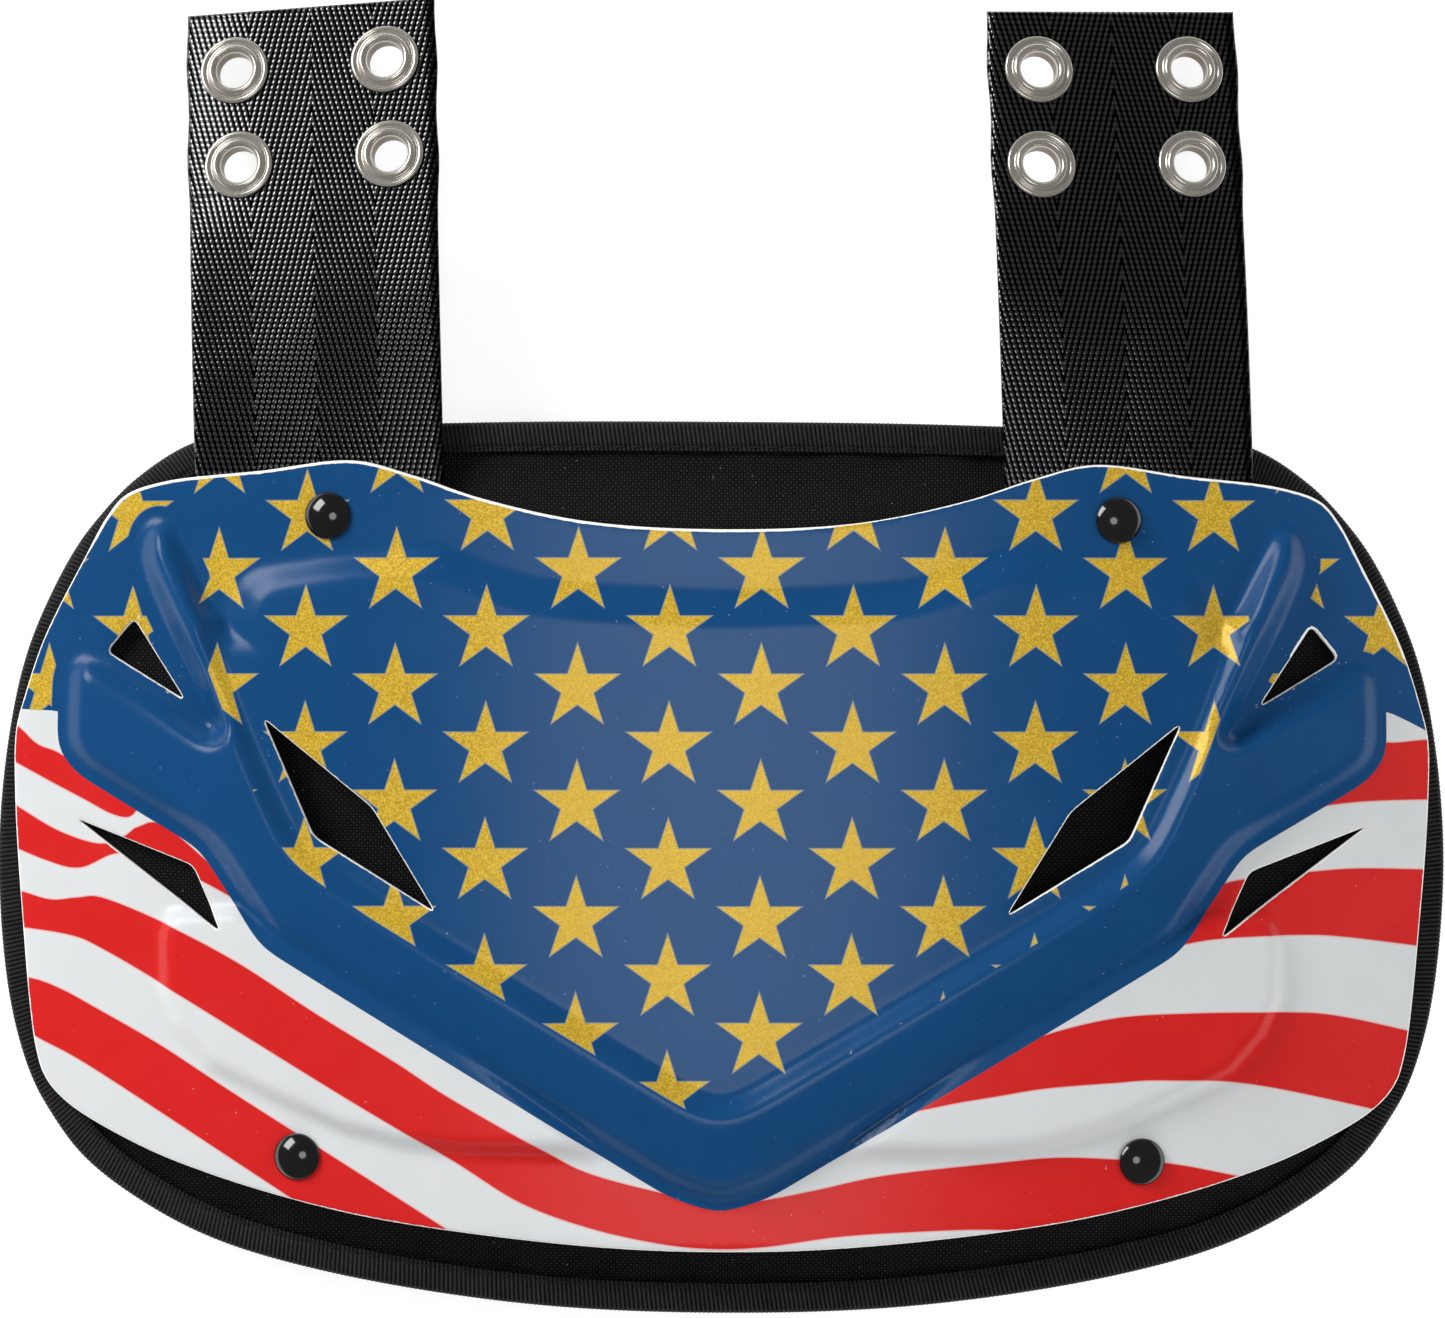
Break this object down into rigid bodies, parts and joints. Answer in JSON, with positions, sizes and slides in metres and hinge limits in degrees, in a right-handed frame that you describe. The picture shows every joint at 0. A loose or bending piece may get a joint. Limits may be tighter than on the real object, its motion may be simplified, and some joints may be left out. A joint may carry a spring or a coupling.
{
  "type": "football back plate",
  "caption": "Arched plastic back plate with a raised V, vents and a bound foam pad; two webbing straps with eyelets fasten it to the back of a pair of shoulder pads.",
  "frame": {"origin": "middle of the whole part's plan, on the surface that it lies on", "axes": "+X to the right across the back, +Y towards the strap ends, +Z out of the printed front"},
  "size_m": [0.2948, 0.266, 0.0388],
  "materials": {
    "shell": "moulded plastic with a printed film: blue with gold stars above, red and white waves below",
    "pad_fabric": "black basket-weave nylon over foam",
    "binding_tape": "black ribbed binding tape",
    "webbing": "black coated herringbone webbing with a gloss",
    "eyelet_nickel": "bright nickel plate",
    "rivet_plastic": "glossy black, domed with a small dimple"
  },
  "bodies": {
    "root": {"shell": "shell", "foam_pad": "pad_fabric", "edge_binding": "binding_tape", "strap_left": "webbing", "strap_right": "webbing", "eyelet_left_1": "eyelet_nickel", "eyelet_left_2": "eyelet_nickel", "eyelet_left_3": "eyelet_nickel", "eyelet_left_4": "eyelet_nickel", "eyelet_right_1": "eyelet_nickel", "eyelet_right_2": "eyelet_nickel", "eyelet_right_3": "eyelet_nickel", "eyelet_right_4": "eyelet_nickel", "rivet_top_left": "rivet_plastic", "rivet_top_right": "rivet_plastic", "rivet_low_left": "rivet_plastic", "rivet_low_right": "rivet_plastic"}
  },
  "joints": []
}
